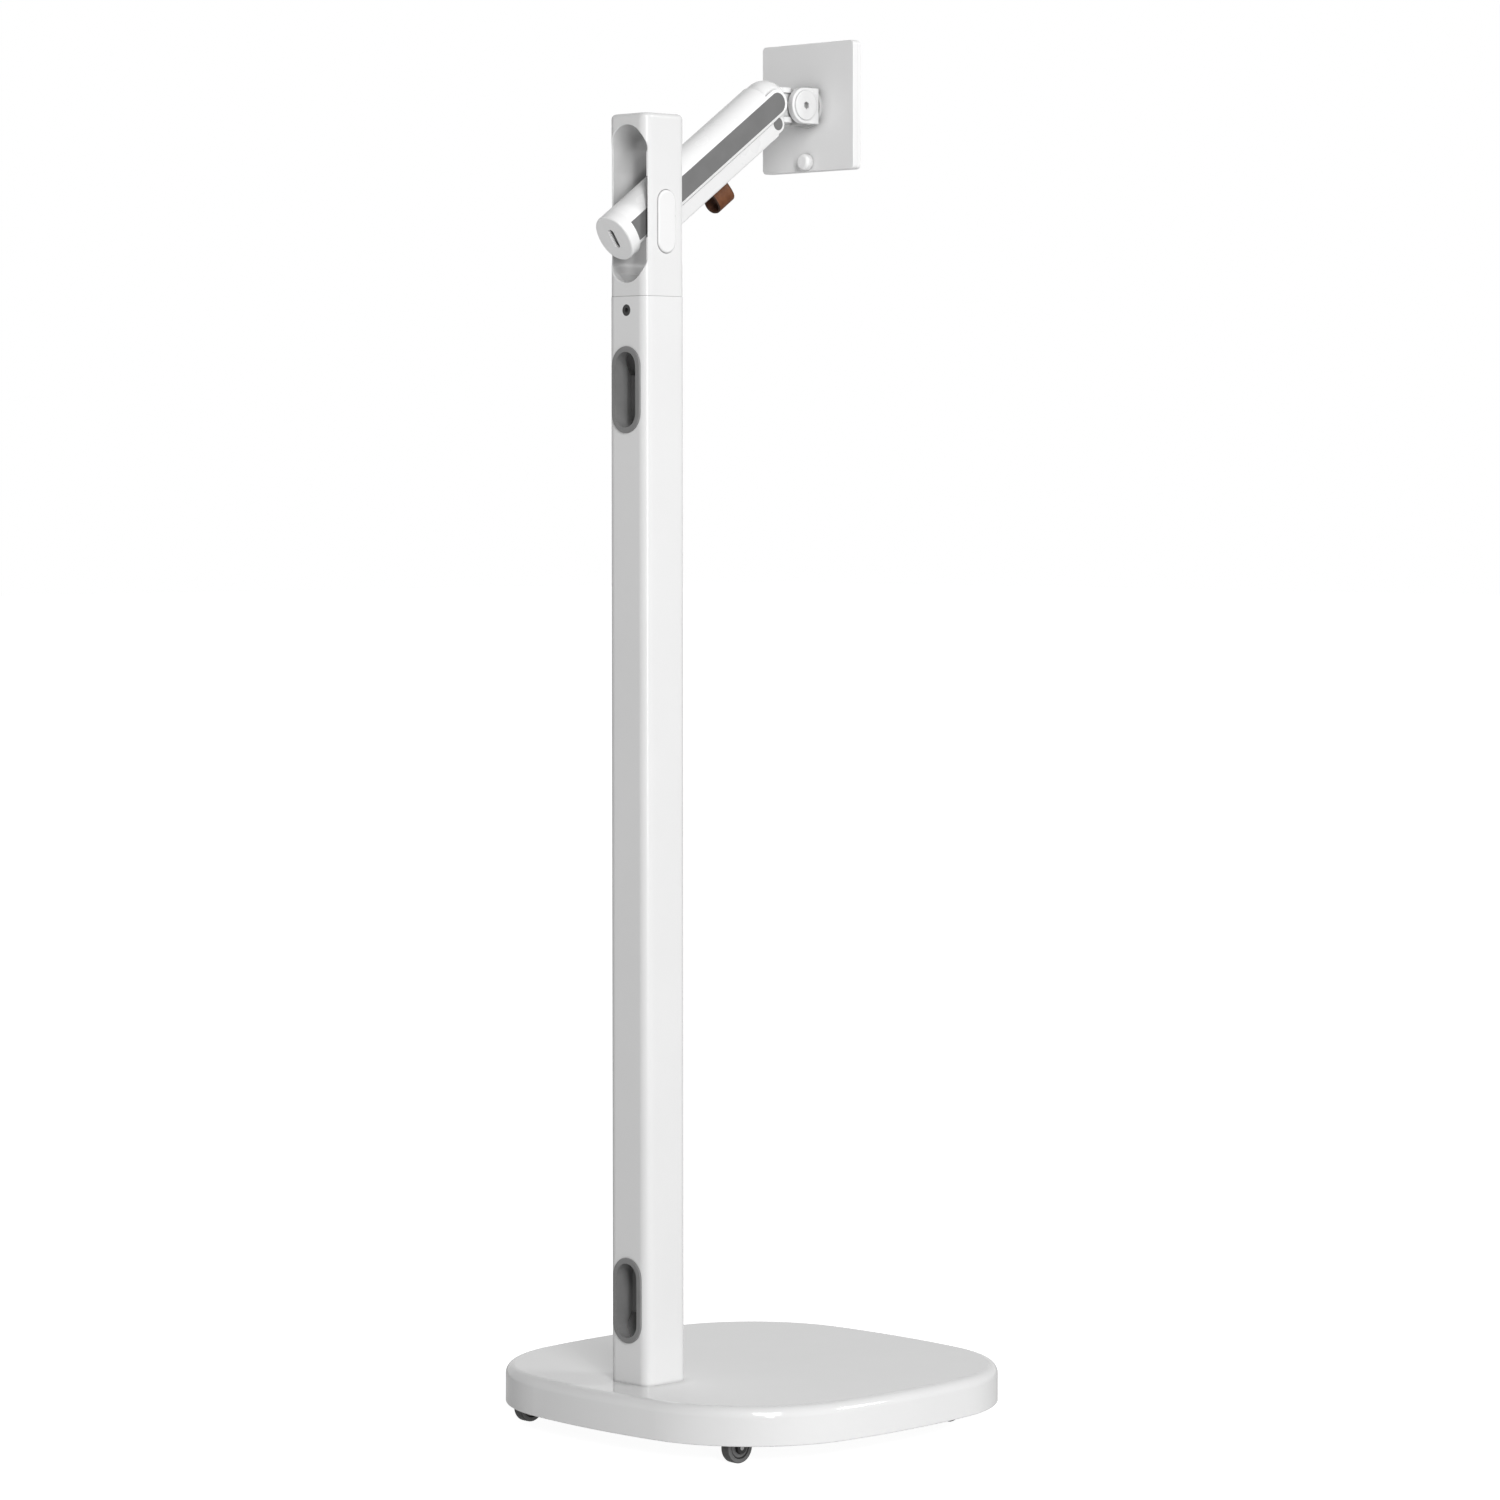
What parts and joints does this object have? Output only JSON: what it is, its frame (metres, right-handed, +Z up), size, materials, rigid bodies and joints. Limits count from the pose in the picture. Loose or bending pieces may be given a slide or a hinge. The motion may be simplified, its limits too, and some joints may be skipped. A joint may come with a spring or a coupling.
{
  "type": "rolling floor stand",
  "caption": "Rolling floor stand for a display: weighted rounded base on casters, square column, and a gas-spring lift arm with a tilting mounting plate.",
  "frame": {"origin": "on the floor under the centre of the base", "axes": "+X to the right seen from the front, -Y towards the viewer of the display, +Z up"},
  "size_m": [0.3998, 0.3998, 1.2416],
  "materials": {
    "white_plastic": "gloss white moulded plastic",
    "white_tube": "satin white powder coat on aluminium",
    "white_casting": "satin white paint on die casting",
    "white_steel": "satin white paint on sheet steel",
    "white_trim": "matt white plastic",
    "grey_plastic": "matt mid-grey plastic",
    "ballast": "rough cast plate",
    "dark_plastic": "matt dark plastic",
    "socket_casting": "bare die casting",
    "steel": "zinc plated steel",
    "dark_steel": "black coated steel",
    "rod": "hard chromed rod",
    "bearing_plastic": "natural acetal",
    "leather": "brown leather with dark edges",
    "caster_black": "black nylon",
    "tread": "dark grey tread"
  },
  "bodies": {
    "stand": {"base_cover": "white_plastic", "base_weight": "ballast", "under_tray": "dark_plastic", "tray_screws": "steel", "column_socket": "socket_casting", "socket_bolts": "steel", "caster_sockets": "steel", "column_tube": "white_tube", "upper_grommet": "grey_plastic", "lower_grommet": "grey_plastic", "column_head": "white_casting", "locking_screw": "dark_steel", "pivot_cover_left": "white_trim", "pivot_cover_right": "white_trim", "arm_pivot_pin": "steel", "link_pivot_pins": "steel", "tension_bracket": "steel", "tension_nut": "steel", "tension_screw": "steel"},
    "arm": {"arm_shell": "white_casting", "rear_cap": "white_plastic", "inlay_left": "grey_plastic", "inlay_right": "grey_plastic", "pivot_bushes": "bearing_plastic", "wrist_pin": "steel", "gas_cylinder": "dark_steel", "cylinder_nut": "steel"},
    "gas_rod": {"gas_rod": "rod"},
    "link": {"link_channel": "white_casting", "link_caps": "grey_plastic", "link_front_pin": "steel", "cable_cover": "white_plastic", "cable_strap": "leather", "strap_stud": "steel"},
    "wrist": {"wrist_drum": "white_casting", "swivel_pin": "steel"},
    "swivel": {"swivel_knuckle": "white_casting", "friction_washers": "bearing_plastic"},
    "tilt_head": {"tilt_clevis": "white_casting", "tilt_screw": "white_trim", "tilt_nut": "white_trim"},
    "plate": {"rotation_flange": "white_casting", "rotation_screw": "steel", "flange_screws": "steel", "mounting_plate": "white_steel", "keyhole_studs": "steel", "vesa_plate": "white_steel"},
    "knob": {"release_knob": "white_trim"},
    "caster_front_left": {"caster_fork_front_left": "caster_black", "caster_axle_front_left": "steel"},
    "wheel_front_left": {"caster_wheel_front_left": "tread"},
    "caster_front_right": {"caster_fork_front_right": "caster_black", "caster_axle_front_right": "steel"},
    "wheel_front_right": {"caster_wheel_front_right": "tread"},
    "caster_rear_left": {"caster_fork_rear_left": "caster_black", "caster_axle_rear_left": "steel"},
    "wheel_rear_left": {"caster_wheel_rear_left": "tread"},
    "caster_rear_right": {"caster_fork_rear_right": "caster_black", "caster_axle_rear_right": "steel"},
    "wheel_rear_right": {"caster_wheel_rear_right": "tread"}
  },
  "joints": [
    {"name": "arm_lift", "type": "hinge", "parent": "stand", "child": "arm", "pos_m": [0, 0.129, 1.0846], "axis": [-1, 0, 0], "range_deg": [-64.6, 10.4]},
    {"name": "link_swing", "type": "hinge", "parent": "stand", "child": "link", "pos_m": [0, 0.1241, 1.0667], "axis": [-1, 0, 0], "range_deg": [-64.6, 10.4]},
    {"name": "wrist_level", "type": "hinge", "parent": "arm", "child": "wrist", "pos_m": [0, -0.0153, 1.18414], "axis": [-1, 0, 0], "range_deg": [-10.4, 64.6]},
    {"name": "gas_stroke", "type": "slide", "parent": "arm", "child": "gas_rod", "axis": [0, -0.8231, 0.5678], "range_m": [-0.0017, 0.01]},
    {"name": "head_swivel", "type": "hinge", "parent": "wrist", "child": "swivel", "pos_m": [0, -0.0346, 1.18414], "axis": [0, 0, 1], "range_deg": [-15, 15]},
    {"name": "head_tilt", "type": "hinge", "parent": "swivel", "child": "tilt_head", "pos_m": [0, -0.0498, 1.18414], "axis": [-1, 0, 0], "range_deg": [-45, 45]},
    {"name": "plate_turn", "type": "hinge", "parent": "tilt_head", "child": "plate", "pos_m": [0, -0.0708, 1.18414], "axis": [0, -1, 0], "range_deg": [-90, 90]},
    {"name": "knob_pull", "type": "slide", "parent": "plate", "child": "knob", "axis": [0, 1, 0], "range_m": [0, 0.004], "stiffness_N_per_m": 600},
    {"name": "swivel_front_left", "type": "hinge", "parent": "stand", "child": "caster_front_left", "pos_m": [-0.1341, -0.1341, 0.03], "axis": [0, 0, 1], "continuous": true},
    {"name": "spin_front_left", "type": "hinge", "parent": "caster_front_left", "child": "wheel_front_left", "pos_m": [-0.13243, -0.11819, 0.014], "axis": [0.9945, -0.1045, 0], "continuous": true},
    {"name": "swivel_front_right", "type": "hinge", "parent": "stand", "child": "caster_front_right", "pos_m": [0.1341, -0.1341, 0.03], "axis": [0, 0, 1], "continuous": true},
    {"name": "spin_front_right", "type": "hinge", "parent": "caster_front_right", "child": "wheel_front_right", "pos_m": [0.13023, -0.11857, 0.014], "axis": [0.9703, 0.2419, 0], "continuous": true},
    {"name": "swivel_rear_left", "type": "hinge", "parent": "stand", "child": "caster_rear_left", "pos_m": [-0.1341, 0.1341, 0.03], "axis": [0, 0, 1], "continuous": true},
    {"name": "spin_rear_left", "type": "hinge", "parent": "caster_rear_left", "child": "wheel_rear_left", "pos_m": [-0.13298, 0.15006, 0.014], "axis": [0.9976, -0.0698, 0], "continuous": true},
    {"name": "swivel_rear_right", "type": "hinge", "parent": "stand", "child": "caster_rear_right", "pos_m": [0.1341, 0.1341, 0.03], "axis": [0, 0, 1], "continuous": true},
    {"name": "spin_rear_right", "type": "hinge", "parent": "caster_rear_right", "child": "wheel_rear_right", "pos_m": [0.13452, 0.1501, 0.014], "axis": [0.9997, -0.0262, 0], "continuous": true}
  ],
  "couplings": [
    {"joint": "link_swing", "follows": "arm_lift", "ratio": 1},
    {"joint": "wrist_level", "follows": "arm_lift", "ratio": -1},
    {"joint": "gas_stroke", "follows": "arm_lift", "m_per_rad": -0.008755}
  ]
}
